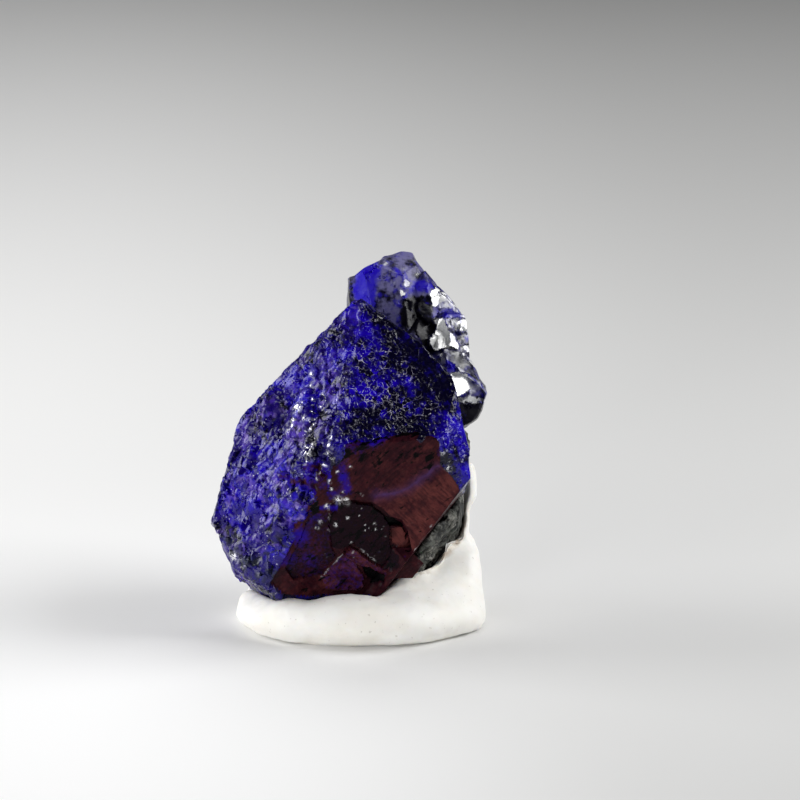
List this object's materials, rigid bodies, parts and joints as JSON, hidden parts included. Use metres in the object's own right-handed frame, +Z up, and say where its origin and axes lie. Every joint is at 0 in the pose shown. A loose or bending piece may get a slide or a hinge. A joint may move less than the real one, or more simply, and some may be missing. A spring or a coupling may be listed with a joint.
{
  "type": "azurite specimen",
  "caption": "Stout deep blue azurite crystal with a pointed top, smaller crystals behind it, on dark rock pressed into a wad of white mounting putty.",
  "frame": {"origin": "under the middle of the whole specimen's bounding box, at the putty's flat foot", "axes": "+Z up, +X to the right as the specimen is displayed, -Y towards the viewer"},
  "size_m": [0.0286, 0.0296, 0.0353],
  "materials": {
    "azurite": "natural crystal faces, vitreous, part rough and part smooth",
    "azurite_rear": "natural crystal faces, bright vitreous",
    "matrix_rock": "broken rock, matt",
    "putty": "kneaded putty, matt"
  },
  "bodies": {
    "root": {"main_crystal": "azurite", "rear_crystals": "azurite_rear", "matrix": "matrix_rock", "mounting_putty": "putty"}
  },
  "joints": []
}
